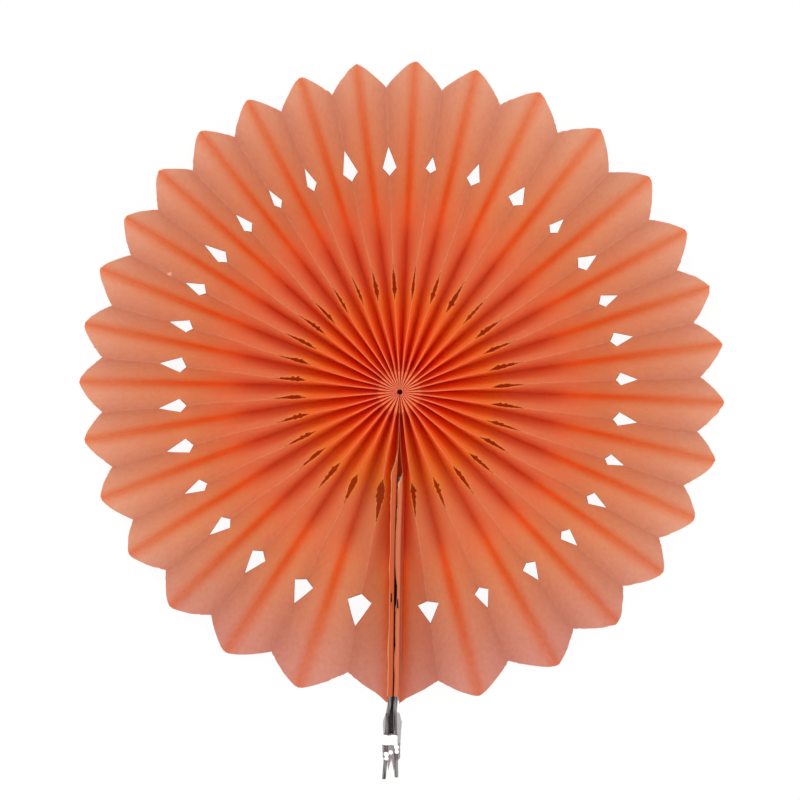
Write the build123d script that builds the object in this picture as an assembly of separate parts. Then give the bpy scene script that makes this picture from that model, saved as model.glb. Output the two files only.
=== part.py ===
from build123d import *
import os
from math import atan2, cos, exp, hypot, radians, sin, sqrt

# A paper fan rosette: one pleated, die-cut paper strip opened to a full circle. A thread gathers its
# pleats at the centre, its two ends are hemmed round wires, and clear tape joins the wires below the rim.
# It lies on its back, with its valley folds on z = 0, its centre on the Z axis and its wires towards -Y.
# Distances are in millimetres, and angles in degrees, clockwise from +Y as seen from the front (+Z).

# Outline of the rosette
TIP_RADIUS = 150.0          # petal tips, on the valley folds
PETAL_DEPTH = 16.0          # from a petal tip back to the notches beside it, on the ridge folds
PETAL_POWER = 0.85          # 1 gives straight petal sides, less gives rounder ones
CENTRE_HOLE_RADIUS = 1.2

# Pleats: the ones beside the seam stand wider open, and so do a few on the right
PAPER_THICKNESS = 0.1
PLEAT_COUNT = 31
FLAT_RISE = 6.0             # height of the widest pleat at its notch
RIGHT_SPREAD = 0.56         # how much wider the widest pleat right of the seam stands open
RIGHT_WIDEST = 0.9          # where that pleat is, counted from the seam's right side
RIGHT_REACH = 2.3           # pleats over which that widening fades
LEFT_SPREAD = 0.72
LEFT_REACH = 2.5
LOOSE_PLEAT = 11.75         # the middle of the looser pleats, counted from the seam's right side
LOOSE_SPREAD = 0.23
LOOSE_REACH = 2.2
CROWDED_HEIGHT = 3.0        # upright measure of the sheet where the pleats crowd at the centre

# Kite-shaped cut-outs, each half of one cut into a panel from its ridge fold
CUT_DEPTH = 6.6
CUT_SHOULDER = 0.36         # share of a kite's length from its inner end to its widest place
INNER_CUT_START = 41.5
INNER_CUT_LENGTH = 13.4
OUTER_CUT_LENGTH = 12.2
OUTER_CUT_MARGIN = 26.5     # from an outer cut-out to the notch beyond it

# Seam, where the two ends of the strip stand side by side
SEAM_ANGLE = 180.94
RIGHT_END_RUN = 1.4         # from each hem's outer side to the valley fold beside it
LEFT_END_RUN = 0.4
END_CLOSING = 3.0           # how steeply the two ends close up from their hems to the centre
END_CLOSED = 0.02           # share of their spacing that is left there
HEM_LEAD = 5.5              # the hems and wires start this far inside the inner cut-outs
HEM_SIDES = 8               # sides of a full turn round a wire
HEM_STEPS = 5               # sides that a hem covers, from the right of its wire over to the left

# End wires and the tape round them
WIRE_DIAMETER = 1.75
WIRE_CLEARANCE = 0.05
WIRE_SPACING = 2.6
WIRE_BEND_RADIUS = 60.0
LEFT_WIRE_FREE = 42.5       # length of each wire beyond the ridge folds
RIGHT_WIRE_FREE = 41.6
LEFT_WIRE_SPLAY = 2.2       # sideways bend of each wire's free end
RIGHT_WIRE_SPLAY = 0.9
TAPE_GAP = 13.0             # from the ridge folds' ends to the tape
TAPE_WIDTH = 25.5
TAPE_THICKNESS = 0.1

# Thread through the inner ends of the pleats
THREAD_DIAMETER = 0.6
THREAD_INSET = 1.9          # from the edge of the centre hole to the thread
THREAD_CLEARANCE = 0.2

# Places along a fold, from the centre outwards
LONGEST_BAND = 24.0
PETAL_STEPS = 5
RIDGE_END = TIP_RADIUS - PETAL_DEPTH
HEM_START = INNER_CUT_START - HEM_LEAD
OUTER_CUT_START = RIDGE_END - OUTER_CUT_MARGIN - OUTER_CUT_LENGTH
THREAD_RADIUS = CENTRE_HOLE_RADIUS + THREAD_INSET
HOLE_HALF = THREAD_DIAMETER / 2 + THREAD_CLEARANCE
HOLE_START = THREAD_RADIUS - HOLE_HALF
HOLE_END = THREAD_RADIUS + HOLE_HALF

# Hems: the paper's inner and outer radius round a wire, and how far from the seam's line things stand
HEM_INSIDE = WIRE_DIAMETER / 2 + WIRE_CLEARANCE
HEM_OUTSIDE = HEM_INSIDE + PAPER_THICKNESS
WIRE_OFFSET = WIRE_SPACING / 2
RIGHT, LEFT = 1, -1
FRONT_AND_BACK = {          # the right hem is turned to the sheet's back, the left one to its front
    RIGHT: (HEM_OUTSIDE, HEM_INSIDE),
    LEFT: (HEM_INSIDE, HEM_OUTSIDE),
}
END_VALLEY_OFFSET = {
    RIGHT: WIRE_OFFSET + HEM_OUTSIDE + RIGHT_END_RUN,
    LEFT: WIRE_OFFSET + HEM_OUTSIDE + LEFT_END_RUN,
}


def valley_angles():
    """Angles of the valley folds at the rim, from the seam's right side round to its left side."""
    first = SEAM_ANGLE - atan2(END_VALLEY_OFFSET[RIGHT], RIDGE_END) / radians(1)
    last = SEAM_ANGLE + atan2(END_VALLEY_OFFSET[LEFT], RIDGE_END) / radians(1) - 360
    shares = []
    for pleat in range(PLEAT_COUNT):
        right = RIGHT_SPREAD * exp(-abs(pleat - RIGHT_WIDEST) / RIGHT_REACH)
        left = LEFT_SPREAD * exp(-(PLEAT_COUNT - 1 - pleat) / LEFT_REACH)
        loose = LOOSE_SPREAD * exp(-(((pleat - LOOSE_PLEAT) / LOOSE_REACH) ** 2))
        shares.append(1 + right + left + loose)
    angles = [first]
    for share in shares:
        angles.append(angles[-1] + (last - first) * share / sum(shares))
    return angles


VALLEYS = valley_angles()
HALF_PITCHES = [(near - far) / 2 for near, far in zip(VALLEYS, VALLEYS[1:])]


def panel_run(radius, half_pitch):
    """Level distance from a valley fold to the ridge fold beside it."""
    return 2 * radius * sin(radians(half_pitch) / 2)


# The panels are all as wide as the widest pleat needs, which keeps FLAT_RISE at its notch
PANEL_WIDTH = hypot(panel_run(RIDGE_END, max(HALF_PITCHES)), FLAT_RISE)
WIRE_HEIGHT = PANEL_WIDTH - HEM_OUTSIDE
THREAD_HEIGHT = PANEL_WIDTH / 2
MEAN_HALF_PITCH = sum(HALF_PITCHES) / PLEAT_COUNT


def cut_stations(start, length):
    """Where a kite-shaped cut-out starts, is widest and ends along its ridge fold."""
    return [start, start + CUT_SHOULDER * length, start + length]


INNER_CUT = cut_stations(INNER_CUT_START, INNER_CUT_LENGTH)
OUTER_CUT = cut_stations(OUTER_CUT_START, OUTER_CUT_LENGTH)


def petal_sides():
    """Distances from the centre along a petal's side, each with the share of the panel that is paper there."""
    shares = [1 - step / PETAL_STEPS for step in range(PETAL_STEPS + 1)]
    return {RIDGE_END + PETAL_DEPTH * (1 - share ** (1 / PETAL_POWER)): share for share in shares}


PETAL_SIDES = petal_sides()
HEM_END = list(PETAL_SIDES)[1]      # the hems run on past the notches, by one step of a petal's side


def fold_stations():
    """Distances from the centre at which the folds and edges have corners, with long bands divided."""
    corners = [CENTRE_HOLE_RADIUS, HOLE_START, HOLE_END, HEM_START, *INNER_CUT, *OUTER_CUT, *PETAL_SIDES]
    corners.sort()
    stations = corners[:1]
    for corner in corners[1:]:
        start = stations[-1]
        parts = 1 + int((corner - start) / LONGEST_BAND)
        stations += [start + (corner - start) * part / parts for part in range(1, parts)]
        stations.append(corner)
    return stations


STATIONS = fold_stations()


def panel_reach(radius, has_cuts=True):
    """Share of a panel, from its valley fold, that is paper at a distance from the centre."""
    if radius <= HEM_END and not has_cuts:
        return 1.0
    if radius in PETAL_SIDES:
        return PETAL_SIDES[radius]
    for start, shoulder, end in (INNER_CUT, OUTER_CUT):
        if start < radius < end:
            depth = CUT_DEPTH / PANEL_WIDTH
            if radius <= shoulder:
                return 1 - depth * (radius - start) / (shoulder - start)
            return 1 - depth * (end - radius) / (end - shoulder)
    return 1.0


def upright_thickness(radius):
    """Upright measure of the sloping sheet, which the crowded pleats limit near the centre."""
    sloping = PAPER_THICKNESS * PANEL_WIDTH / panel_run(radius, MEAN_HALF_PITCH)
    return sloping * CROWDED_HEIGHT / hypot(sloping, CROWDED_HEIGHT)


def polar(radius, angle, height):
    return (radius * sin(radians(angle)), radius * cos(radians(angle)), height)


def beside_seam(distance, offset, height):
    """A point given by its distance out along the seam and its offset to the right of it."""
    along = radians(SEAM_ANGLE)
    x = distance * sin(along) - offset * cos(along)
    y = distance * cos(along) + offset * sin(along)
    return (x, y, height)


def on_fold(radius, point):
    """The sheet's front and back points on a fold, from its back point."""
    x, y, height = point
    return ((x, y, height + upright_thickness(radius)), point)


def valley(index):
    """Front and back points along a valley fold. The two at the seam run beside it past the hems' start."""
    def at(radius):
        if 0 < index < PLEAT_COUNT:
            return on_fold(radius, polar(radius, VALLEYS[index], 0.0))
        side = RIGHT if index == 0 else LEFT
        offset = side * END_VALLEY_OFFSET[side] * min(1.0, radius / HEM_START)
        return on_fold(radius, beside_seam(radius, offset, 0.0))
    return at


def ridge(index):
    """Front and back points along a ridge fold, which comes down towards the rim as its pleat opens."""
    half_pitch = HALF_PITCHES[index]

    def at(radius):
        height = sqrt(PANEL_WIDTH ** 2 - panel_run(min(radius, RIDGE_END), half_pitch) ** 2)
        under = height - upright_thickness(radius)
        return on_fold(radius, polar(radius, VALLEYS[index] - half_pitch, under))
    return at


def hem_point(side, distance, turn):
    """Front and back points of a hem, by how far it has turned round its wire from the end panel."""
    def at(hem_radius):
        corner = hem_radius / cos(radians(180 / HEM_SIDES))
        offset = side * WIRE_OFFSET + corner * cos(radians(turn))
        return beside_seam(distance, offset, WIRE_HEIGHT + corner * sin(radians(turn)))
    return tuple(at(hem_radius) for hem_radius in FRONT_AND_BACK[side])


def end_edge(side):
    """Front and back points along the top of an end panel, which comes to the centre inside the hem."""
    def at(radius):
        if radius >= HEM_START:
            return hem_point(side, radius, 0)
        closing = max(END_CLOSED, (radius / HEM_START) ** END_CLOSING)
        offsets = [(side * WIRE_OFFSET + hem_radius) * closing for hem_radius in FRONT_AND_BACK[side]]
        return tuple(beside_seam(radius, offset, WIRE_HEIGHT) for offset in offsets)
    return at


def between(first, second, share):
    """The front and back points at a share of the way from one pair to another."""
    return tuple(
        tuple(a * (1 - share) + b * share for a, b in zip(start, end))
        for start, end in zip(first, second)
    )


def band(near, far):
    """Triangles between two rows of point pairs, the near row being the one towards the centre."""
    triangles = []
    i = j = 0
    while i < len(near) - 1 or j < len(far) - 1:
        near_done = i == len(near) - 1
        far_done = j == len(far) - 1
        if near_done or (not far_done and (j + 1) * (len(near) - 1) <= (i + 1) * (len(far) - 1)):
            triangles.append((near[i], far[j], far[j + 1]))
            j += 1
        else:
            triangles.append((near[i], far[j], near[i + 1]))
            i += 1
    return triangles


def panel(low_fold, high_fold, rising, has_cuts=True):
    """One panel from a valley fold up to a ridge fold or an end's edge, with its thread hole."""
    def row(radius, shares):
        nodes = [between(low_fold(radius), high_fold(radius), share) for share in shares]
        return nodes if rising else nodes[::-1]

    def hole_shares(radius):
        """Shares of the panel where its thread hole starts, on the front, and ends, on the back."""
        (low_front, low_back), (high_front, high_back) = low_fold(radius), high_fold(radius)
        bottom = THREAD_HEIGHT - HOLE_HALF - low_front[2]
        top = THREAD_HEIGHT + HOLE_HALF - low_back[2]
        return bottom / (high_front[2] - low_front[2]), top / (high_back[2] - low_back[2])

    def whole_row(radius):
        if radius in (HOLE_START, HOLE_END):
            return row(radius, [0.0, *hole_shares(radius), 1.0])
        reach = panel_reach(radius, has_cuts)
        return row(radius, [0.0, reach] if reach > 0 else [0.0])

    triangles = []
    for near, far in zip(STATIONS, STATIONS[1:]):
        if near == HOLE_START:
            for part in (0, 1):
                rows = [row(r, sorted([float(part), hole_shares(r)[part]])) for r in (near, far)]
                triangles += band(*rows)
        else:
            triangles += band(whole_row(near), whole_row(far))
    return triangles


def hem(side):
    """The end of the strip turned round its wire, slit where the cut-outs meet it."""
    turn = 360 / HEM_SIDES
    slit_after = 1
    slits = [tuple(INNER_CUT[:2]), tuple(INNER_CUT[1:]), tuple(OUTER_CUT[:2])]

    def row(distance):
        return [hem_point(side, distance, turn * step) for step in range(HEM_STEPS + 1)]

    def oriented(near, far):
        return band(near, far) if side == LEFT else band(near[::-1], far[::-1])

    triangles = []
    for near, far in zip(STATIONS, STATIONS[1:]):
        if near < HEM_START or far > HEM_END:
            continue
        rows = row(near), row(far)
        inside_slit = any(start <= near and far <= end for start, end in slits)
        if inside_slit:
            triangles += oriented(*[nodes[:slit_after + 1] for nodes in rows])
            triangles += oriented(*[nodes[slit_after + 1:] for nodes in rows])
        else:
            triangles += oriented(*rows)
    return triangles


def sheet_solid(triangles):
    """A closed solid from the sheet's triangles, with a wall along every free edge."""
    edges = {(t[k], t[(k + 1) % 3]) for t in triangles for k in range(3)}
    corners = []
    for a, b, c in triangles:
        corners.append((a[0], b[0], c[0]))
        corners.append((a[1], c[1], b[1]))
    for start, end in edges:
        if (end, start) not in edges:
            corners.append((start[0], start[1], end[1]))
            corners.append((start[0], end[1], end[0]))
    return Solid(Shell([Face(Wire.make_polygon(three)) for three in corners]))


def pleated_paper():
    triangles = panel(valley(0), end_edge(RIGHT), rising=False, has_cuts=False)
    for index in range(PLEAT_COUNT):
        triangles += panel(valley(index), ridge(index), rising=True)
        triangles += panel(valley(index + 1), ridge(index), rising=False)
    triangles += panel(valley(PLEAT_COUNT), end_edge(LEFT), rising=True, has_cuts=False)
    return sheet_solid(triangles + hem(RIGHT) + hem(LEFT))


def end_wire(side, free_length, splay):
    """A straight wire in its hem, bent a little sideways below the rim."""
    offset = side * WIRE_OFFSET
    points = [
        beside_seam(HEM_START, offset, WIRE_HEIGHT),
        beside_seam(RIDGE_END + TAPE_GAP / 2, offset, WIRE_HEIGHT),
        beside_seam(RIDGE_END + free_length, offset + side * splay, WIRE_HEIGHT),
    ]
    path = FilletPolyline(*points, radius=WIRE_BEND_RADIUS)
    section = Plane(origin=path @ 0, z_dir=path % 0) * Circle(WIRE_DIAMETER / 2)
    return sweep(section, path=path)


def wire_offset(side, free_length, splay, distance):
    """How far from the seam's line a wire's middle is, at a distance beyond its bend."""
    bend = RIDGE_END + TAPE_GAP / 2
    return side * (WIRE_OFFSET + splay * (distance - bend) / (RIDGE_END + free_length - bend))


def clear_tape():
    """A thin sleeve that follows the two wires as they spread."""
    def section(distance, radius):
        right = wire_offset(RIGHT, RIGHT_WIRE_FREE, RIGHT_WIRE_SPLAY, distance)
        left = wire_offset(LEFT, LEFT_WIRE_FREE, LEFT_WIRE_SPLAY, distance)
        middle = beside_seam(distance, (right + left) / 2, WIRE_HEIGHT)
        across = Vector(*beside_seam(0, 1, 0))
        along = Vector(*beside_seam(1, 0, 0))
        return Plane(origin=middle, x_dir=across, z_dir=along) * SlotCenterToCenter(right - left, 2 * radius)

    ends = [RIDGE_END + TAPE_GAP, RIDGE_END + TAPE_GAP + TAPE_WIDTH]
    outside = loft([section(end, HEM_INSIDE + TAPE_THICKNESS) for end in ends], ruled=True)
    inside = loft([section(end, HEM_INSIDE) for end in ends], ruled=True)
    return outside - inside


def centre_thread():
    return Pos(0, 0, THREAD_HEIGHT) * Torus(THREAD_RADIUS, THREAD_DIAMETER / 2)


os.makedirs("parts", exist_ok=True)
export_step(pleated_paper(), "parts/pleated_paper.step")
export_step(end_wire(LEFT, LEFT_WIRE_FREE, LEFT_WIRE_SPLAY), "parts/left_wire.step")
export_step(end_wire(RIGHT, RIGHT_WIRE_FREE, RIGHT_WIRE_SPLAY), "parts/right_wire.step")
export_step(clear_tape(), "parts/clear_tape.step")
export_step(centre_thread(), "parts/centre_thread.step")
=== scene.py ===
import math

import bpy
import numpy as np
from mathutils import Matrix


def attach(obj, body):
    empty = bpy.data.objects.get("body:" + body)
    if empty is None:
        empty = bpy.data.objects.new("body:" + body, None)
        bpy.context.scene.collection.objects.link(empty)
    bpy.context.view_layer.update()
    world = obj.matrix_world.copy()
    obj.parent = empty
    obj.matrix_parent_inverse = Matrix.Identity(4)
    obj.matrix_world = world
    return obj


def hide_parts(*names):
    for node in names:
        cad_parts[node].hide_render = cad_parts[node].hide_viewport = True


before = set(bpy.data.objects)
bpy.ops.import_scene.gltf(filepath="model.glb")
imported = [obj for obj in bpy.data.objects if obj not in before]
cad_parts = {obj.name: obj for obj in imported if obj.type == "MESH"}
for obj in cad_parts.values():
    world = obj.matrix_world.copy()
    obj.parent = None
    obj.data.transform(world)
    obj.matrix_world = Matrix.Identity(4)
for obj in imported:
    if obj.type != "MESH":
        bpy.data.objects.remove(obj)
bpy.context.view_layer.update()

bpy.context.scene.view_settings.view_transform = "Standard"


# Pleated paper, its folds
# One long strip of thin peach paper, pleated across its width and opened to a full circle. Ridge folds stand
# up to the front and valley folds lie on the table. The pleats beside the seam are opened widest.
MM = 0.001
tip_radius = 150 * MM
petal_depth = 16 * MM
petal_power = 0.85
centre_hole_radius = 1.2 * MM
pleat_count = 31
last_panel = 2 * pleat_count + 1
flat_rise = 6 * MM
seam_angle = math.radians(180.94)
wire_radius = 0.875 * MM
wire_offset = 1.3 * MM
hem_radius = 0.975 * MM
valley_offset = {"right": 3.725 * MM, "left": 2.725 * MM}
ridge_end = tip_radius - petal_depth
hem_start = 36 * MM
paper_thickness = 0.1 * MM
table_gap = 0.06 * MM

pleats = np.arange(pleat_count)
opening_right_of_seam = 0.56 * np.exp(-abs(pleats - 0.9) / 2.3)
opening_left_of_seam = 0.72 * np.exp(-(pleat_count - 1 - pleats) / 2.5)
opening_upper_right = 0.23 * np.exp(-((pleats - 11.75) / 2.2) ** 2)
opening = 1 + opening_right_of_seam + opening_left_of_seam + opening_upper_right
first_valley = seam_angle - math.atan2(valley_offset["right"], ridge_end)
last_valley = seam_angle + math.atan2(valley_offset["left"], ridge_end) - 2 * math.pi
turned = np.concatenate([[0], np.cumsum(opening)]) / opening.sum()
valley_angles = first_valley + (last_valley - first_valley) * turned
half_pitches = -np.diff(valley_angles) / 2
ridge_angles = valley_angles[:-1] - half_pitches
panel_width = math.hypot(2 * ridge_end * math.sin(half_pitches.max() / 2), flat_rise)
wire_height = panel_width - hem_radius - paper_thickness / 2
seam_leans = ((0.7 * MM, 25 * MM, 45 * MM), (0.5 * MM, 130 * MM, 18 * MM))


def through(value, start, span):
    """How far a value has come through a span, from 0 to 1. A negative span runs the other way."""
    return np.clip((value - start) / span, 0, 1)


def beside_seam(distance, offset):
    """Plan position at a distance out along the seam and an offset to its right. The seam leans left."""
    for lean, start, span in seam_leans:
        offset = offset - lean * through(distance, start, span)
    x = distance * math.sin(seam_angle) - offset * math.cos(seam_angle)
    y = distance * math.cos(seam_angle) + offset * math.sin(seam_angle)
    return x, y


# Kite-shaped cut-outs go through the ridge folds: clean in the outer ring, torn in steps in the inner one.
# The outer kites differ. Their widths and lengths are measures of the photograph, rounded to twentieths.
cut_depth = 6.6 * MM
inner_cut = np.array([41.3, 56.2]) * MM
outer_cut = np.array([95.3, 99.7, 107.5]) * MM
kite_width = np.array([1.3, 0.8, 0.95, 0.9, 0.9, 0.85, 1.05, 1, 1.1, 0.95, 1.1, 0.75, 1.1, 0.95, 0.8, 1.1,
                       1.2, 0.8, 0.75, 0.9, 1, 1, 1, 1.2, 1.05, 1.1, 0.9, 0.95, 1.05, 1.15, 1.25])
kite_length = np.array([0.85, 0.85, 0.8, 0.8, 0.85, 0.75, 0.9, 0.8, 0.85, 0.75, 0.8, 0.7, 0.8, 0.85, 0.6,
                        1.05, 1.15, 0.9, 0.8, 0.85, 1.05, 0.85, 0.9, 1, 1.05, 1.05, 0.95, 1, 1.1, 1.05, 1.3])

# The strip is a grid: columns across the folds, rows from the centre to the rim. A column is one share of
# one panel, or one turn of a hem round its wire. Rows crowd round the cut-outs and end on the petals' sides.
cut_shares = np.array([0, 0.1, 0.2, 0.3, 0.4, 0.5, 0.6, 0.7, 0.82, 1.0])
plain_shares = np.array([0.25, 0.5, 0.72, 0.88, 0.96, 1.0])
hem_wrap = 205
hem_turns = np.radians(np.linspace(0, hem_wrap, 13))
columns = []
for turn in hem_turns[:0:-1]:
    columns.append(("right hem", 0, turn))
for panel in range(last_panel + 1):
    cut_width = cut_depth * kite_width[min(max((panel - 1) // 2, 0), pleat_count - 1)] / panel_width
    shares = 1 - np.concatenate([cut_width * cut_shares, cut_width + (1 - cut_width) * plain_shares])
    for share in (shares[::-1] if panel % 2 else shares)[0 if panel == 0 else 1:]:
        columns.append(("panel", panel, share))
for turn in hem_turns[1:]:
    columns.append(("left hem", last_panel, turn))

kind = np.array([column[0] for column in columns])
panel_of = np.array([column[1] for column in columns])
value_of = np.array([column[2] for column in columns])
on_panel = kind == "panel"
share_of = np.where(on_panel, value_of, 1.0)
turn_of = np.where(on_panel, 0.0, value_of)
valley_of = panel_of // 2
ridge_of = (panel_of - 1) // 2
pleat_of = np.clip(ridge_of, 0, pleat_count - 1)
at_right = panel_of == 0
at_left = panel_of == last_panel
is_end = at_right | at_left
from_ridge = (1 - share_of) * panel_width

chance = np.random.default_rng(21)
cut_of = np.clip(from_ridge / (cut_depth * kite_width[pleat_of]), 0, 1)
cut_of[is_end] = 1
in_cut = cut_of < 0.999
inner_scale = 1 + 0.06 * chance.uniform(-1, 1, pleat_count)
inner_scale[-1] = 1.3
inner_length = (inner_cut[1] - inner_cut[0]) * inner_scale[pleat_of]
inner_near = inner_cut[0] + 0.29 * (inner_cut[1] - inner_cut[0] - inner_length)
torn_steps = np.array([0.16, 0.36, 0.56, 0.80, 0.55, 0.66, 0.47, 0.42, 0.34, 0.25, 0.15, 0.06])
torn_rows = len(torn_steps)
torn_width = torn_steps + 0.09 * chance.uniform(-1, 1, (pleat_count, torn_rows)) * (torn_steps > 0.2)
torn_width[-1] = np.minimum(0.9, 1.25 * torn_width[-1])
outer_low = outer_cut[1] - (outer_cut[1] - outer_cut[0]) * kite_length[pleat_of] * (1 - cut_of)
outer_high = outer_cut[1] + (outer_cut[2] - outer_cut[1]) * kite_length[pleat_of] * (1 - cut_of)
outer_open = in_cut.copy()

# Two small slits in the hems, where the outer cut-outs met the strip's two ends
slits = (("left hem", 0.38, 0.60, 90.5 * MM, 94.6 * MM), ("right hem", 0.30, 0.52, 93.3 * MM, 97.3 * MM))
for hem_name, from_turn, to_turn, near, far in slits:
    in_slit = (turn_of > from_turn * hem_turns[-1]) & (turn_of < to_turn * hem_turns[-1])
    slit_columns = (kind == hem_name) & in_slit
    outer_low[slit_columns] = near
    outer_high[slit_columns] = far
    outer_open |= slit_columns

# Petals have slightly blunt tips and uneven edges. The two beside the seam are drawn in.
hem_end_share = 0.8
tip_bluntness = 0.055
blunt_trim = 0.0015
end_petal_drawn = {"right": 3.2 * MM, "left": 3.4 * MM}
edge_unevenness = 0.12 * MM
hem_end = ridge_end + petal_depth * (1 - hem_end_share ** (1 / petal_power))
blunt_share = np.sqrt(share_of ** 2 + tip_bluntness ** 2) * (1 - blunt_trim)
petal_edge = ridge_end + petal_depth * (1 - np.minimum(1, blunt_share) ** (1 / petal_power))
petal_edge = np.where(is_end, hem_end + (tip_radius - hem_end) * (1 - share_of) ** 0.7, petal_edge)
drawn_share = (1 - share_of) * (1 - 0.7 * np.exp(-(share_of / 0.15) ** 2))
drawn_by = np.where(valley_of == 0, end_petal_drawn["right"], 0)
drawn_by = np.where(valley_of == pleat_count, end_petal_drawn["left"], drawn_by)
petal_edge -= drawn_share * drawn_by
petal_edge += edge_unevenness * chance.normal(size=len(columns)) * (share_of < 1) * on_panel

rim_of_cut = 0.5 * MM
crowding_to_centre = 1.6
row_counts = (10, 2, torn_rows, 6, 1, 1, 1, 8)
row_stops = [np.full(len(columns), centre_hole_radius), np.full(len(columns), hem_start),
             inner_near, inner_near + inner_length,
             outer_low - rim_of_cut, outer_low, outer_high, outer_high + rim_of_cut, petal_edge]
rows = [row_stops[0]]
for count, near, far in zip(row_counts, row_stops, row_stops[1:]):
    crowding = crowding_to_centre if near is row_stops[0] else 1
    for step in range(1, count + 1):
        rows.append(near + (far - near) * (step / count) ** crowding)
radius = np.array(rows)
row_total, column_total = radius.shape
hem_row = row_counts[0]
inner_row = sum(row_counts[:2])
outer_row = sum(row_counts[:5])

# Folding: the level place of each grid point, and how high its panel carries it there
ridge_fold_radius = 0.45 * MM
valley_fold_radius = 0.16 * MM
wander = chance.uniform(-1, 1, (pleat_count, 4))


def valley_place(index, rho):
    """Plan position along a valley fold. The two at the seam run beside it past the start of the hems."""
    x = rho * np.sin(valley_angles[index])
    y = rho * np.cos(valley_angles[index])
    reach = np.minimum(1, rho / hem_start)
    right = beside_seam(rho, valley_offset["right"] * reach - 0.9 * MM * through(rho / MM, 128, 16))
    left = beside_seam(rho, -valley_offset["left"] * reach)
    x = np.where(index == 0, right[0], np.where(index == pleat_count, left[0], x))
    y = np.where(index == 0, right[1], np.where(index == pleat_count, left[1], y))
    return x, y


def ridge_place(index, rho):
    """Plan position and height along a ridge fold, which wanders a little and comes down to the rim."""
    phase = rho / tip_radius * 2 * np.pi
    sway = 0.55 * MM * wander[index, 0] * np.sin(1.4 * phase + 3 * wander[index, 1])
    sway = sway + 0.30 * MM * wander[index, 2] * np.sin(4.1 * phase + 3 * wander[index, 3])
    calm = through(rho, 4 * MM, 10 * MM) * (1 - 0.6 * through(rho, 70 * MM, 60 * MM))
    angle = ridge_angles[index] + sway * calm / rho
    half_span = 2 * np.minimum(rho, ridge_end) * np.sin(half_pitches[index] / 2)
    height = np.sqrt(panel_width ** 2 - half_span ** 2)
    return rho * np.sin(angle), rho * np.cos(angle), height


def end_place(side, rho):
    """Plan position of the top of an end panel, beside its wire. The two ends close up at the centre."""
    closing = np.minimum(1, rho / hem_start) ** 3
    offset = side * wire_offset + hem_radius
    return beside_seam(rho, offset * closing)


low_x, low_y = valley_place(valley_of, radius)
high_x, high_y, high_z = ridge_place(pleat_of, radius)
right_x, right_y = end_place(1, radius)
left_x, left_y = end_place(-1, radius)
high_x = np.where(at_right, right_x, np.where(at_left, left_x, high_x))
high_y = np.where(at_right, right_y, np.where(at_left, left_y, high_y))
high_z = np.where(is_end, wire_height, high_z)
run = np.hypot(high_x - low_x, high_y - low_y)

down = 1 - share_of
ridge_fold = ridge_fold_radius * (1 - 0.8 * through(radius, 30 * MM, 25 * MM))
ridge_soft = np.minimum(0.45, ridge_fold / run)
valley_soft = np.minimum(0.15, valley_fold_radius / run)


def dropped(away):
    """How far a softly folded panel has come down, by its share away from the ridge fold."""
    top = np.sqrt(away ** 2 + ridge_soft ** 2) - ridge_soft
    foot = np.sqrt(1 + valley_soft ** 2) - np.sqrt((1 - away) ** 2 + valley_soft ** 2)
    return top + foot - away


pressed = 1 + 9 * through(radius, 11 * MM, -6 * MM)
drop = np.where(is_end, down, dropped(down) / dropped(1.0)) ** pressed
x = low_x + (high_x - low_x) * share_of
y = low_y + (high_y - low_y) * share_of
z = table_gap + (high_z - table_gap) * (1 - drop)

# Panels bow and ripple a little between their folds
ripple_height = 0.35 * MM
bow = chance.uniform(-1, 1, (last_panel + 1, 4))
along = radius / tip_radius
ripple = (bow[panel_of, 0] * np.sin(2 * np.pi * (0.7 * along + bow[panel_of, 1]))
          + 0.5 * bow[panel_of, 2] * np.sin(2 * np.pi * (1.9 * along + bow[panel_of, 3])))
z += ripple_height * ripple * np.sin(np.pi * share_of) * np.minimum(1, along * 2)


def gathered(rho):
    """How far the gathered middle lies away from the seam, past the rim's centre. It fades to the rim."""
    return 1.4 * MM * (1 - np.minimum(1, rho / (145 * MM)) ** 3)


y += gathered(radius)
x += 0.5 * MM * np.exp(-(radius / (30 * MM)) ** 2)

# Hems: from the end panel's top over the wire, to a raw torn edge on its left. They start as narrow flaps.
frayed = chance.normal(size=(2, row_total, 1))
left_loose_at = [26, 36, 60, 80, 88, 93, 99, 109, 113, 118, 122, 127, 138]
left_loose = [0.1, 0.5, 0.25, 0.35, 0.05, 0.3, 0.1, 0.2, 0.95, 0.9, 0.3, 0.75, 0.5]
right_loose_at = [36, 45, 52, 60, 82, 87, 93, 98, 104, 112, 120, 128, 138]
right_loose = [0.1, -0.2, -0.2, 0.35, 0.35, -0.6, -0.65, -0.4, -0.15, -0.3, 0.05, -0.1, 0.1]
for hem_name, side, flap_start, loose_at, loose, fray in (
        ("left hem", -1, 26 * MM, left_loose_at, left_loose, frayed[0]),
        ("right hem", 1, 37 * MM, right_loose_at, right_loose, frayed[1])):
    at = kind == hem_name
    rho = radius[:, at]
    turn = turn_of[at] * np.clip((rho - flap_start) / (10 * MM) + 0.1 + 0.1 * fray, 0.08, 1)
    closing = np.minimum(1, rho / hem_start) ** 3
    torn_edge = (turn_of[at] / hem_turns[-1]) ** 2
    round_wire = hem_radius * closing + torn_edge * (np.interp(rho / MM, loose_at, loose) + 0.14 * fray) * MM
    x[:, at], y[:, at] = beside_seam(rho, side * wire_offset * closing + round_wire * np.cos(turn))
    y[:, at] += gathered(rho)
    z[:, at] = wire_height + round_wire * np.sin(turn)

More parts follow.
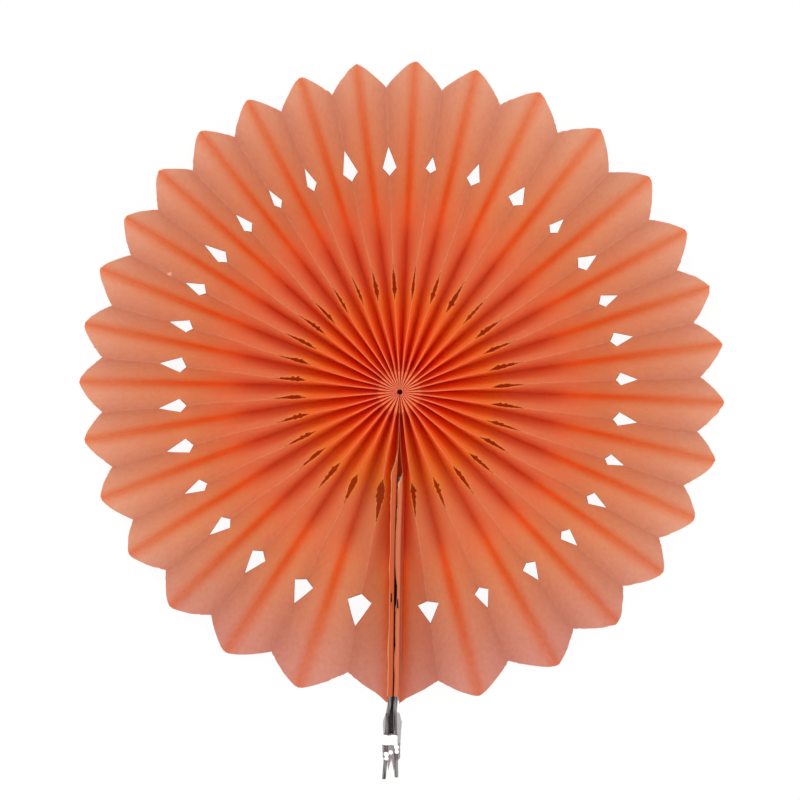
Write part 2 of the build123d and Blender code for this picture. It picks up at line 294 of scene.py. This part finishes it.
bpy.ops.object.select_all(action="DESELECT")
bpy.ops.mesh.primitive_grid_add(x_subdivisions=column_total - 1, y_subdivisions=row_total - 1, size=1)
paper = bpy.context.object
paper.name = "paper_rosette"
mesh = paper.data
flat = np.empty(len(mesh.vertices) * 3)
mesh.vertices.foreach_get("co", flat)
flat = flat.reshape(-1, 3)
grid_column = np.rint((flat[:, 0] + 0.5) * (column_total - 1)).astype(int)
grid_row = np.rint((flat[:, 1] + 0.5) * (row_total - 1)).astype(int)
folded = np.stack([x[grid_row, grid_column], y[grid_row, grid_column], z[grid_row, grid_column]], axis=1)
mesh.vertices.foreach_set("co", folded.ravel())

# The cut-outs are cut away, and the hems' strips where the hems haven't started yet
corner_of = np.empty(len(mesh.polygons) * 4, int)
mesh.polygons.foreach_get("vertices", corner_of)
corner_of = corner_of.reshape(-1, 4)
face_row = grid_row[corner_of].min(axis=1)
face_column = grid_column[corner_of].min(axis=1)
torn_row = np.clip(face_row - inner_row, 0, torn_rows - 1)
torn_reach = 0.5 * (cut_of[face_column] + cut_of[face_column + 1])
open_inner = (face_row >= inner_row) & (face_row < inner_row + torn_rows)
open_inner &= torn_reach < torn_width[pleat_of[face_column], torn_row]
open_outer = outer_open[face_column] | outer_open[face_column + 1]
cut_away = open_inner | ((face_row == outer_row) & open_outer)
cut_away |= (kind[face_column] == "right hem") & (face_row < hem_row)
cut_away |= (kind[face_column + 1] == "left hem") & (face_row < hem_row - 2)

# Marks on the sheet that its colour follows: painted light and shade on the folds, hems and cut edges, and
# torn edges
on_crest = np.exp(-(down * run / (0.55 * MM)) ** 4) * on_panel
# Painted light: the crests near the centre are painted paler, standing in for the light on them.
crest_light = on_crest * through(radius, 26 * MM, -12 * MM)
# Painted shade: a little further out, the crests are painted darker to dim the light on them.
painted_far_crest_shade = on_crest * through(radius, 12 * MM, 12 * MM) * through(radius, 54 * MM, -16 * MM)
# Painted shade: the colour deepens along the valley creases, less so towards the rim.
crease_shade = np.exp(-(share_of / 0.20) ** 2) * on_panel * through(radius, 45 * MM, 40 * MM)
crease_shade *= 1 - 0.45 * through(radius, 95 * MM, 40 * MM)
# Painted shade: the sides of the panels near the ridges are painted darker.
painted_ridge_shade = share_of ** 2 * on_panel * through(radius, 20 * MM, 32 * MM)
torn = np.broadcast_to(through(turn_of, hem_turns[8], hem_turns[10] - hem_turns[8]), radius.shape)
# Painted light and shade on the doubled paper: the left hem and the top of the right end panel get a deep
# shaded tone, and the right hem a lighter, lit one.
end_top = at_right * on_panel * through(share_of, 0.3, 0.4)
# The outer cut-outs' rims are darker: partly the pressed cut edge, partly painted shadow.
cut_edge_and_shadow = np.zeros(radius.shape)
cut_edge_and_shadow[outer_row:outer_row + 2, in_cut] = 1
marks = {
    "painted_crest_light": crest_light,
    "painted_far_crest_shade": painted_far_crest_shade,
    "painted_crease_shade": crease_shade,
    "painted_ridge_shade": painted_ridge_shade,
    "torn_mark": torn,
    "painted_hem_shade": (kind == "left hem") * (1 - torn) + end_top,
    "painted_lit_hem": (kind == "right hem") * (1 - torn),
    "cut_edge_and_shadow": cut_edge_and_shadow,
    "hem_cover": np.broadcast_to(~on_panel + end_top, radius.shape),
}
for name, mark in marks.items():
    mark_on_sheet = mesh.attributes.new(name, "FLOAT", "POINT")
    mark_on_sheet.data.foreach_set("value", mark[grid_row, grid_column])

merge_distance = 0.02 * MM
sliver_size = 0.01 * MM
bpy.ops.object.mode_set(mode="EDIT")
bpy.ops.mesh.select_mode(type="FACE")
bpy.ops.mesh.select_all(action="DESELECT")
bpy.ops.object.mode_set(mode="OBJECT")
mesh.polygons.foreach_set("select", cut_away)
bpy.ops.object.mode_set(mode="EDIT")
bpy.ops.mesh.delete(type="FACE")
bpy.ops.mesh.select_all(action="SELECT")
bpy.ops.mesh.flip_normals()
bpy.ops.mesh.remove_doubles(threshold=merge_distance)
bpy.ops.mesh.dissolve_degenerate(threshold=sliver_size)
bpy.ops.mesh.delete_loose()
bpy.ops.object.mode_set(mode="OBJECT")

# The sheet is pressed thinner towards the crowded centre
full_thickness_from = 12 * MM
least_thickness = 0.05
thinned = paper.vertex_groups.new(name="thickness")
sheet_points = np.empty(len(mesh.vertices) * 3)
mesh.vertices.foreach_get("co", sheet_points)
out_from_centre = np.hypot(sheet_points[0::3], sheet_points[1::3])
for index, weight in enumerate(np.clip(out_from_centre / full_thickness_from, least_thickness, 1)):
    thinned.add([index], float(weight), "REPLACE")
walls = paper.modifiers.new("paper thickness", "SOLIDIFY")
walls.thickness = paper_thickness
walls.offset = 0
walls.vertex_group = "thickness"
bpy.ops.object.modifier_apply(modifier=walls.name)
bpy.ops.object.shade_smooth_by_angle(angle=math.radians(40))


def new_material(name):
    """A material, its node tree and its surface shader."""
    material = bpy.data.materials.new(name)
    material.use_nodes = True
    return material, material.node_tree, material.node_tree.nodes["Principled BSDF"]


def feed(tree, node, feeds):
    """Give a shader node its inputs, each from another node's output or as a plain value."""
    for name, source in feeds.items():
        if isinstance(source, bpy.types.NodeSocket):
            tree.links.new(source, node.inputs[name])
        else:
            node.inputs[name].default_value = source


def add_node(tree, kind_of_node, feeds, **settings):
    """The outputs of a new shader node, with its settings made and its inputs fed."""
    node = tree.nodes.new("ShaderNode" + kind_of_node)
    for name, setting in settings.items():
        setattr(node, name, setting)
    feed(tree, node, feeds)
    return node.outputs


def eased(tree, value, start, end, low=0.0, high=1.0):
    """A share that goes from low to high as a value goes from start to end."""
    feeds = {"Value": value, "From Min": start, "From Max": end, "To Min": low, "To Max": high}
    return add_node(tree, "MapRange", feeds)["Result"]


def combined(tree, way, *values):
    """Values put together one after another: their product, or the largest of them."""
    result = values[0]
    for value in values[1:]:
        result = add_node(tree, "Math", {0: result, 1: value}, operation=way)["Value"]
    return result


def tinted(tree, way, share, under, over):
    """One colour laid over another by a share."""
    feeds = {"Factor": share, "A": under, "B": over}
    return add_node(tree, "Mix", feeds, data_type="RGBA", blend_type=way)["Result"]


def ramped(tree, share, stops):
    """A colour that runs from stop to stop as a share rises."""
    node = tree.nodes.new("ShaderNodeValToRGB")
    elements = node.color_ramp.elements
    elements[0].position = stops[0][0]
    elements[0].color = stops[0][1]
    elements[1].position = stops[-1][0]
    elements[1].color = stops[-1][1]
    for position, colour in stops[1:-1]:
        elements.new(position).color = colour
    feed(tree, node, {"Fac": share})
    return node.outputs["Color"]


def marked(tree, name):
    """A mark on the sheet, as a share."""
    return add_node(tree, "Attribute", {}, attribute_name=name)["Fac"]


# Peach tissue paper with fine fibres and cloudy dye. Painted light makes it paler towards the rim, where the
# white table shines through one layer; painted shade makes it deeper inwards and along the creases.
peach_and_painted_light_stops = (
    (0.10, (0.998, 0.54, 0.05, 1)),
    (0.27, (0.998, 0.63, 0.14, 1)),
    (0.35, (0.998, 0.635, 0.305, 1)),
    (0.42, (0.997, 0.625, 0.33, 1)),
    (0.52, (0.988, 0.58, 0.305, 1)),
    (0.62, (0.926, 0.555, 0.310, 1)),
    (0.95, (0.885, 0.58, 0.435, 1)),
)
# Mark colours: painted light on the inner crests; painted shade on the outer crests, creases and hems, with a
# lighter lit tone on the right hem; the hems' torn edges; painted shadow with the pressed paper at cut rims.
mark_colours = (
    ("painted_crease_shade", "MULTIPLY", (1.0, 0.57, 0.29, 1)),
    ("painted_crest_light", "MIX", (0.97, 0.50, 0.27, 1)),
    ("painted_far_crest_shade", "MIX", (0.94, 0.41, 0.17, 1)),
    ("painted_hem_shade", "MIX", (0.56, 0.10, 0.03, 1)),
    ("painted_lit_hem", "MIX", (0.62, 0.16, 0.075, 1)),
    ("torn_mark", "MIX", (0.76, 0.30, 0.15, 1)),
    ("cut_edge_and_shadow", "MULTIPLY", (0.62, 0.45, 0.40, 1)),
)
greyed_lower_part = (0.92, 0.83, 0.92, 1)
# Painted shade on the panels near the ridges
ridge_shade_tone = (0.91, 0.82, 0.82, 1)
rubbed_colour = (0.98, 0.74, 0.60, 1)
rubbed_place = (-101.5 / 150, 54.0 / 150, 0)
light_through_panel = 0.72
light_through_hem = 0.10

peach_paper, tree, shader = new_material("peach_paper")
where = add_node(tree, "TexCoord", {})["Object"]
rim_scale = (1 / tip_radius, 1 / tip_radius, 0)
level = add_node(tree, "VectorMath", {0: where, 1: rim_scale}, operation="MULTIPLY")["Vector"]
out_share = add_node(tree, "VectorMath", {0: level}, operation="LENGTH")["Value"]
up_share = add_node(tree, "SeparateXYZ", {"Vector": level})["Y"]
fibres = add_node(tree, "TexNoise", {"Vector": where, "Scale": 420, "Detail": 3, "Roughness": 0.6})["Fac"]
colour = ramped(tree, out_share, peach_and_painted_light_stops)
colour = tinted(tree, "MULTIPLY", eased(tree, up_share, -0.42, -0.78), colour, greyed_lower_part)
colour = tinted(tree, "MULTIPLY", marked(tree, "painted_ridge_shade"), colour, ridge_shade_tone)
colour = tinted(tree, "OVERLAY", 0.18, colour, fibres)
for name, way, mark_colour in mark_colours:
    colour = tinted(tree, way, marked(tree, name), colour, mark_colour)
from_rubbed = add_node(tree, "VectorMath", {0: level, 1: rubbed_place}, operation="DISTANCE")["Value"]
colour = tinted(tree, "MIX", eased(tree, from_rubbed, 0.008, 0.004), colour, rubbed_colour)
bump = add_node(tree, "Bump", {"Strength": 0.2, "Distance": 0.0002, "Height": fibres})["Normal"]
feed(tree, shader, {"Base Color": colour, "Roughness": 0.9, "Specular IOR Level": 0.2, "Normal": bump})
glow = add_node(tree, "BsdfTranslucent", {"Color": colour})["BSDF"]
glow_share = eased(tree, marked(tree, "hem_cover"), 0, 1, light_through_panel, light_through_hem)
thin_sheet = add_node(tree, "MixShader", {"Fac": glow_share, 1: shader.outputs["BSDF"], 2: glow})["Shader"]
feed(tree, tree.nodes["Material Output"], {"Surface": thin_sheet})

paper.data.materials.clear()
paper.data.materials.append(peach_paper)
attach(paper, "root")
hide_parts("pleated_paper")


# End wires
# Two lengths of grey steel wire, one in the hem at each end of the strip. They come out side by side below
# the rim, where they spread a little as a handle, and they are cut off square.
wire_start = hem_start + 0.5 * MM
wire_bend = ridge_end + 6.5 * MM
wire_free = {"left": 42.5 * MM, "right": 41.6 * MM}
wire_splay = {"left": 2.2 * MM, "right": 0.9 * MM}
wire_bow = {"left": 0.5 * MM, "right": 0.25 * MM}


def round_bar(name, sides, rings, closed):
    """A unit round bar or sleeve cut into rings, with each point's turn and its share along the bar."""
    bpy.ops.object.select_all(action="DESELECT")
    bpy.ops.mesh.primitive_cylinder_add(vertices=sides, radius=1, depth=1,
                                        end_fill_type="NGON" if closed else "NOTHING")
    bar = bpy.context.object
    bar.name = name
    bpy.ops.object.mode_set(mode="EDIT")
    bpy.ops.mesh.select_mode(type="EDGE")
    bpy.ops.mesh.select_all(action="DESELECT")
    bpy.ops.object.mode_set(mode="OBJECT")
    for edge in bar.data.edges:
        ends = [bar.data.vertices[corner].co for corner in edge.vertices]
        edge.select = abs(ends[0].z - ends[1].z) > 0.5
    bpy.ops.object.mode_set(mode="EDIT")
    bpy.ops.mesh.subdivide(number_cuts=rings)
    bpy.ops.object.mode_set(mode="OBJECT")
    points = np.empty(len(bar.data.vertices) * 3)
    bar.data.vertices.foreach_get("co", points)
    points = points.reshape(-1, 3)
    return bar, np.arctan2(points[:, 1], points[:, 0]), points[:, 2] + 0.5


def shape_bar(bar, bar_x, bar_y, bar_z):
    """Move a bar's points to their places and turn its faces to the outside."""
    bar.data.vertices.foreach_set("co", np.stack([bar_x, bar_y, bar_z], axis=1).ravel())
    bpy.ops.object.mode_set(mode="EDIT")
    bpy.ops.mesh.select_all(action="SELECT")
    bpy.ops.mesh.normals_make_consistent(inside=False)
    bpy.ops.object.mode_set(mode="OBJECT")


def wire_line(side_name, distance):
    """How far right of the seam's line a wire's middle is."""
    side = 1 if side_name == "right" else -1
    wire_end = ridge_end + wire_free[side_name]
    spread = wire_splay[side_name] * through(distance, wire_bend, wire_end - wire_bend) ** 1.15
    bowed = through(distance / MM, 139, 5) * through(distance / MM, 168, -16)
    return side * (wire_offset + spread) - wire_bow[side_name] * bowed


# Drawn steel with fine lines along it, bright where bare, and painted dark for shade inside the hems
steel_stops = ((0.40, (0.030, 0.026, 0.024, 1)), (0.62, (0.36, 0.345, 0.335, 1)))
hem_shade_steel = (0.012, 0.008, 0.007, 1)
wire_steel, tree, shader = new_material("wire_steel")
where = add_node(tree, "TexCoord", {})["Object"]
stretched = add_node(tree, "Mapping", {"Vector": where, "Scale": (2600, 90, 2600)})["Vector"]
draw_lines = add_node(tree, "TexNoise", {"Vector": stretched, "Scale": 1, "Detail": 3})["Fac"]
place_y = add_node(tree, "SeparateXYZ", {"Vector": where})["Y"]
# Painted shade on the wire where it lies inside the hem
past_hem_start = eased(tree, place_y, -60 * MM, -62 * MM)
before_hem_end = eased(tree, place_y, -136 * MM, -134 * MM)
under_hem = combined(tree, "MULTIPLY", past_hem_start, before_hem_end)
colour = tinted(tree, "MIX", under_hem, ramped(tree, draw_lines, steel_stops), hem_shade_steel)
roughness = eased(tree, draw_lines, 0, 1, 0.55, 0.32)
feed(tree, shader, {"Base Color": colour, "Metallic": 0.85, "Roughness": roughness})

for side_name in ("left", "right"):
    wire, turn, share = round_bar(side_name + "_steel_wire", 20, 60, closed=True)
    distance = wire_start + (ridge_end + wire_free[side_name] - wire_start) * share
    offset = wire_line(side_name, distance) + wire_radius * np.cos(turn)
    wire_x, wire_y = beside_seam(distance, offset)
    shape_bar(wire, wire_x, wire_y, wire_height + wire_radius * np.sin(turn))
    bpy.ops.object.shade_smooth_by_angle(angle=math.radians(40))
    wire.data.materials.clear()
    wire.data.materials.append(wire_steel)
    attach(wire, "root")
    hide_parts(side_name + "_wire")


# Clear tape
# A short length of clear adhesive tape, wound loosely round both wires below the rim to hold the rosette
# open. It is crumpled, stands away from the wires at its upper end, and has painted shade and glare.
tape_start = 145.3 * MM
tape_end = 167.0 * MM
film_thickness = 0.05 * MM
bulge_at = [145.3, 149.7, 155.5, 160.9, 166.8]
left_bulge = [0.1, 1.0, 0.6, 0.8, 0.35]
right_bulge = [1.0, 2.3, 1.6, 1.2, 0.9]
tape, turn, share = round_bar("clear_film_band", 72, 44, closed=False)
across = np.sign(np.cos(turn)) * np.abs(np.cos(turn)) ** 0.7
flaps = 6.0 * MM * np.exp(-((np.abs(across) - 0.3) / 0.14) ** 2) + 0.5 * MM * np.sin(9 * across + 1)
distance = tape_start + (tape_end - tape_start) * share + flaps * through(share, 0.7, 0.3)
left_edge = wire_line("left", distance) - wire_radius - np.interp(distance / MM, bulge_at, left_bulge) * MM
right_edge = wire_line("right", distance) + wire_radius + np.interp(distance / MM, bulge_at, right_bulge) * MM
half = 0.5 * (right_edge - left_edge)
middle = 0.5 * (right_edge + left_edge)
crossed_creases = np.sin(7 * turn + 19 * share) * np.sin(31 * share + 2 * turn)
crumple = (crossed_creases + 0.6 * np.sin(13 * turn - 47 * share)) * 0.10 * MM
height = (wire_radius + 0.14 * MM) * np.sign(np.sin(turn)) * np.abs(np.sin(turn)) ** 0.6
tape_x, tape_y = beside_seam(distance, middle + (half + crumple) * across)
tape_z = wire_height + height * (1 + 0.05 * np.sin(9 * turn + 23 * share)) + 0.5 * crumple * np.sin(turn)
shape_bar(tape, tape_x, tape_y, tape_z)
film = tape.modifiers.new("film thickness", "SOLIDIFY")
film.thickness = film_thickness
film.offset = 1
bpy.ops.object.modifier_apply(modifier=film.name)
bpy.ops.object.shade_smooth_by_angle(angle=math.radians(50))

# Painted highlight: white glare lies in one band across the left of the film and in a few spots below it
film_shade_tone = (0.17, 0.10, 0.11, 1)
glare_tone = (0.97, 0.97, 0.98, 1)
glare_spots = ((-1.75, -161.2, 1.0), (-1.75, -163.4, 0.9), (-4.3, -163.6, 1.0), (-6.5, -164.7, 1.1),
               (-6.4, -166.4, 0.9))
clear_film, tree, shader = new_material("clear_film")
where = add_node(tree, "TexCoord", {})["Object"]
place = add_node(tree, "SeparateXYZ", {"Vector": where})
wrinkles = add_node(tree, "TexNoise", {"Vector": where, "Scale": 420, "Detail": 3})["Fac"]
wavy = add_node(tree, "Math", {0: wrinkles, 1: 2.4 * MM, 2: place["Y"]}, operation="MULTIPLY_ADD")["Value"]
below_band_top = eased(tree, wavy, -154.1 * MM, -154.3 * MM)
above_band_foot = eased(tree, wavy, -159.1 * MM, -158.9 * MM)
left_of_middle = eased(tree, place["X"], -0.9 * MM, -1.5 * MM)
glare = combined(tree, "MULTIPLY", below_band_top, above_band_foot, left_of_middle)
for spot_x, spot_y, spot_size in glare_spots:
    spot_place = (spot_x * MM, spot_y * MM, wire_height + wire_radius)
    from_spot = add_node(tree, "VectorMath", {0: where, 1: spot_place}, operation="DISTANCE")["Value"]
    ragged_edge = {0: wrinkles, 1: -1.2 * MM, 2: from_spot}
    ragged = add_node(tree, "Math", ragged_edge, operation="MULTIPLY_ADD")["Value"]
    spot = eased(tree, ragged, (spot_size - 0.45) * MM, (spot_size - 0.65) * MM)
    glare = combined(tree, "MAXIMUM", glare, spot)

# A dark tone on the underside between the wires stands in for the shade in their gap
gap_shade_tone = (0.010, 0.007, 0.006, 1)
across_handle = (1, -0.0257, 0)
off_middle = add_node(tree, "VectorMath", {0: where, 1: across_handle}, operation="DOT_PRODUCT")["Value"]
from_middle = add_node(tree, "Math", {0: off_middle}, operation="ABSOLUTE")["Value"]
on_underside = eased(tree, place["Z"], wire_height - 0.2 * MM, wire_height - 0.5 * MM)
between_wires = eased(tree, from_middle, 1.8 * MM, 1.6 * MM)
above_glare = eased(tree, place["Y"], -156.5 * MM, -155.5 * MM)
gap_shade = combined(tree, "MULTIPLY", on_underside, between_wires, above_glare)
colour = tinted(tree, "MIX", glare, film_shade_tone, glare_tone)
colour = tinted(tree, "MIX", gap_shade, colour, gap_shade_tone)
# Painted shade: the clear film's grey tone covers more at its sides and its lower part.
side_cover = eased(tree, from_middle, 1.5 * MM, 2.4 * MM, 0.04, 0.21)
lower_cover = eased(tree, place["Y"], -157 * MM, -160 * MM, 0, 0.32)
cover = combined(tree, "MAXIMUM", side_cover, lower_cover, glare, gap_shade)
bump = add_node(tree, "Bump", {"Strength": 0.5, "Distance": 0.0003, "Height": wrinkles})["Normal"]
feed(tree, shader, {"Base Color": colour, "Alpha": cover, "Normal": bump})
feed(tree, shader, {"Roughness": 0.12, "Specular IOR Level": 0.2})
tape.data.materials.clear()
tape.data.materials.append(clear_film)
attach(tape, "root")
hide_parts("clear_tape")


# Centre thread
# A fine cotton thread through punched holes near the inner ends of the pleats, drawn tight and tied, which
# gathers them at the centre. It is hidden in the folds.
cotton_stops = ((0.0, (0.62, 0.58, 0.52, 1)), (1.0, (0.86, 0.83, 0.78, 1)))
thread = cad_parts["centre_thread"]
cotton, tree, shader = new_material("cotton_thread")
where = add_node(tree, "TexCoord", {})["Object"]
twist = add_node(tree, "TexWave", {"Vector": where, "Scale": 900, "Distortion": 2.0})["Fac"]
feed(tree, shader, {"Base Color": ramped(tree, twist, cotton_stops), "Roughness": 0.9})
thread.data.materials.clear()
thread.data.materials.append(cotton)


# Floor, light and camera
# A plain pale table seen from almost straight above, under a broad soft light. It looks white, except that
# dark tones stand in for the shade under the paper's middle and under the gap along the seam.
floor_size = 6
floor_drop = 0.2 * MM
table_tone = (0.95, 0.94, 0.93, 1)
seam_shade_tone = (0.018, 0.012, 0.010, 1)
paper_shade_tone = (0.46, 0.16, 0.03, 1)
white_share = 0.94
bpy.ops.object.select_all(action="DESELECT")
bpy.ops.mesh.primitive_plane_add(size=floor_size, location=(0, 0, -floor_drop))
floor = bpy.context.object
floor.name = "floor"
bpy.ops.object.transform_apply(location=True, rotation=True, scale=True)
table_top, tree, shader = new_material("table_top")
feed(tree, shader, {"Base Color": table_tone, "Roughness": 0.9})
where = add_node(tree, "TexCoord", {})["Object"]
place = add_node(tree, "SeparateXYZ", {"Vector": where})
off_middle = add_node(tree, "VectorMath", {0: where, 1: across_handle}, operation="DOT_PRODUCT")["Value"]
from_middle = add_node(tree, "Math", {0: off_middle}, operation="ABSOLUTE")["Value"]
beside_gap = eased(tree, from_middle, 1.7 * MM, 1.8 * MM)
above_gap = eased(tree, place["Y"], -55 * MM, -53 * MM)
below_gap = eased(tree, place["Y"], -155.0 * MM, -155.5 * MM)
off_gap = combined(tree, "MAXIMUM", beside_gap, above_gap, below_gap)
from_centre = add_node(tree, "VectorMath", {0: where}, operation="LENGTH")["Value"]
white_place = combined(tree, "MULTIPLY", eased(tree, from_centre, 70 * MM, 85 * MM), off_gap)
shade_tone = tinted(tree, "MIX", off_gap, seam_shade_tone, paper_shade_tone)
shade = add_node(tree, "BsdfDiffuse", {"Color": shade_tone})["BSDF"]
white = add_node(tree, "Emission", {"Color": (1, 1, 1, 1)})["Emission"]
seen_floor = add_node(tree, "MixShader", {"Fac": white_place, 1: shade, 2: white})["Shader"]
rays = add_node(tree, "LightPath", {})
seen = combined(tree, "MAXIMUM", rays["Is Camera Ray"], rays["Is Glossy Ray"], rays["Is Transmission Ray"])
seen_share = combined(tree, "MULTIPLY", seen, eased(tree, off_gap, 0, 1, 1.0, white_share))
floor_surface = {"Fac": seen_share, 1: shader.outputs["BSDF"], 2: seen_floor}
shown_floor = add_node(tree, "MixShader", floor_surface)["Shader"]
feed(tree, tree.nodes["Material Output"], {"Surface": shown_floor})
floor.data.materials.append(table_top)

world = bpy.data.worlds.new("soft_room")
bpy.context.scene.world = world
world.use_nodes = True
tree = world.node_tree
sky_where = add_node(tree, "TexCoord", {})["Generated"]
sky_height = add_node(tree, "SeparateXYZ", {"Vector": sky_where})["Z"]
brightness = eased(tree, sky_height, 0.80, 0.97, 1.02, 1.18)
feed(tree, tree.nodes["Background"], {"Color": (1, 1, 1, 1), "Strength": brightness})


def soft_lamp(name, place, size, watts):
    """A round soft lamp that points to the middle of the rosette."""
    bpy.ops.object.select_all(action="DESELECT")
    bpy.ops.object.light_add(type="AREA", location=place)
    lamp = bpy.context.object
    lamp.name = name
    lamp.data.shape = "DISK"
    lamp.data.size = size
    lamp.data.energy = watts
    toward = -np.array(place) / np.linalg.norm(place)
    lamp.rotation_euler = (math.acos(-toward[2]), 0, math.atan2(toward[1], toward[0]) - math.pi / 2)


soft_lamp("broad_lamp", (-0.3, 1.1, 1.1), 0.9, 5)
soft_lamp("fill_lamp", (1.0, 0.2, 1.1), 0.9, 2)

# The camera stands where petal tips, notches and wire ends fall as they do in the photograph
camera_place = np.array([10.32, 35.2, 464.4]) * MM
camera_turn = np.radians([-4.813, 1.233, -0.268])
image_width = 800
focal_pixels = 1004.8
bpy.ops.object.camera_add(location=camera_place, rotation=camera_turn)
camera = bpy.context.object
camera.name = "photo_camera"
camera.data.sensor_width = 36
camera.data.lens = focal_pixels * camera.data.sensor_width / image_width
camera.data.clip_start = 0.01
bpy.context.scene.camera = camera

# Light goes through many folds of thin paper before it comes out again
light_bounces = 80
bpy.context.scene.cycles.max_bounces = light_bounces
bpy.context.scene.cycles.diffuse_bounces = light_bounces
bpy.context.scene.cycles.transmission_bounces = light_bounces
